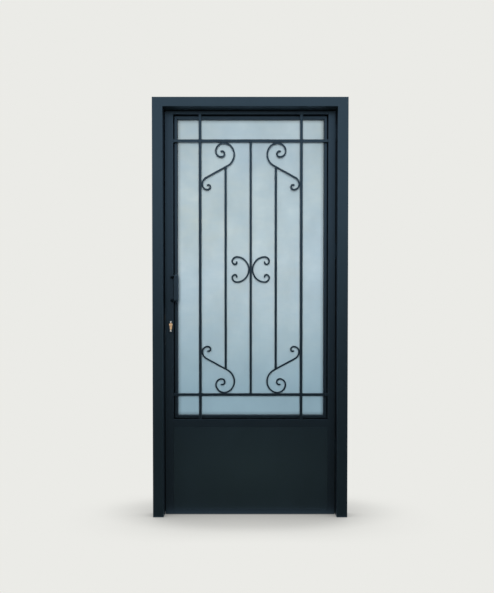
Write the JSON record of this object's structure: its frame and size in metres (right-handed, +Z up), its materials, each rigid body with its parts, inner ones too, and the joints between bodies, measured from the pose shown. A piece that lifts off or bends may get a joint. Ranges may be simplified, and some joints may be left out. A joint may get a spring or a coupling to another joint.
{
  "type": "steel security door",
  "caption": "Inward-opening steel door in its folded frame, with a scroll grille over an openable glazed casement and a flush lower panel.",
  "frame": {"origin": "on the floor, in the middle of the frame's width and of the whole depth over the inner pull", "axes": "+X towards the hinges, +Y into the room, +Z up; the street side faces -Y"},
  "size_m": [0.955, 0.15, 2.05],
  "materials": {
    "frame_paint": "satin dark blue-grey enamel",
    "leaf_paint": "satin dark blue-grey enamel",
    "bright_steel": "zinc plated",
    "brass": "satin",
    "seal_rubber": "matt",
    "obscured_glass": "milky obscured glass, polished outside"
  },
  "bodies": {
    "frame": {"jamb_left": "frame_paint", "jamb_right": "frame_paint", "head_member": "frame_paint", "fixing_sleeves": "bright_steel", "strike_plate": "bright_steel", "strike_screws": "bright_steel", "frame_gasket": "seal_rubber", "hinge_frame_top": "frame_paint", "hinge_frame_middle": "frame_paint", "hinge_frame_bottom": "frame_paint", "hinge_pins": "bright_steel"},
    "leaf": {"lock_stile": "leaf_paint", "hinge_stile": "leaf_paint", "top_rail": "leaf_paint", "middle_rail": "leaf_paint", "bottom_rail": "leaf_paint", "panel_outer": "leaf_paint", "panel_inner": "leaf_paint", "hinge_leaf_top": "leaf_paint", "hinge_leaf_middle": "leaf_paint", "hinge_leaf_bottom": "leaf_paint", "lock_case": "bright_steel", "lock_faceplate": "bright_steel", "faceplate_screws": "bright_steel", "cylinder_body": "brass", "escutcheon_outer": "leaf_paint", "escutcheon_inner": "leaf_paint", "escutcheon_screws": "bright_steel", "pull_outer": "leaf_paint", "pull_inner": "leaf_paint", "pull_bolts": "bright_steel", "sash_hinge_lower": "leaf_paint", "button_screws": "bright_steel", "cross_bar_top": "leaf_paint", "cross_bar_bottom": "leaf_paint", "long_bar_left": "leaf_paint", "long_bar_right": "leaf_paint", "centre_bar": "leaf_paint", "short_bar_left": "leaf_paint", "short_bar_right": "leaf_paint", "s_scroll_top_left": "leaf_paint", "s_scroll_top_right": "leaf_paint", "s_scroll_bottom_left": "leaf_paint", "s_scroll_bottom_right": "leaf_paint", "c_scroll_left": "leaf_paint", "c_scroll_right": "leaf_paint"},
    "latch": {"latch_bolt": "brass"},
    "deadbolt": {"deadbolt": "bright_steel"},
    "cylinder": {"cylinder_plug": "brass", "thumb_turn": "bright_steel"},
    "casement": {"sash_left": "leaf_paint", "sash_right": "leaf_paint", "sash_top": "leaf_paint", "sash_bottom": "leaf_paint", "glass_pane": "obscured_glass", "glazing_beads": "leaf_paint", "sash_gasket": "seal_rubber", "sash_hinge_upper": "leaf_paint"},
    "button_upper": {"turn_button_upper": "bright_steel"},
    "button_lower": {"turn_button_lower": "bright_steel"}
  },
  "joints": [
    {"name": "leaf_swing", "type": "hinge", "parent": "frame", "child": "leaf", "pos_m": [0.4235, 0.032, 1], "axis": [0, 0, -1], "range_deg": [0, 110]},
    {"name": "latch_slide", "type": "slide", "parent": "leaf", "child": "latch", "axis": [1, 0, 0], "range_m": [0, 0.009], "stiffness_N_per_m": 300, "springref_m": -0.01},
    {"name": "cylinder_turn", "type": "hinge", "parent": "leaf", "child": "cylinder", "pos_m": [-0.393, 0.0025, 0.947], "axis": [0, 1, 0], "range_deg": [0, 360]},
    {"name": "deadbolt_slide", "type": "slide", "parent": "leaf", "child": "deadbolt", "axis": [-1, 0, 0], "range_m": [0, 0.016]},
    {"name": "casement_swing", "type": "hinge", "parent": "leaf", "child": "casement", "pos_m": [0.4, 0.0303, 1.2], "axis": [0, 0, -1], "range_deg": [0, 100]},
    {"name": "button_upper_turn", "type": "hinge", "parent": "leaf", "child": "button_upper", "pos_m": [-0.4, 0.0289, 1.684], "axis": [0, 1, 0], "range_deg": [0, 90]},
    {"name": "button_lower_turn", "type": "hinge", "parent": "leaf", "child": "button_lower", "pos_m": [-0.4, 0.0289, 0.777], "axis": [0, 1, 0], "range_deg": [0, 90]}
  ],
  "couplings": [
    {"joint": "cylinder_turn", "follows": "deadbolt_slide", "rad_per_m": 392.69}
  ]
}
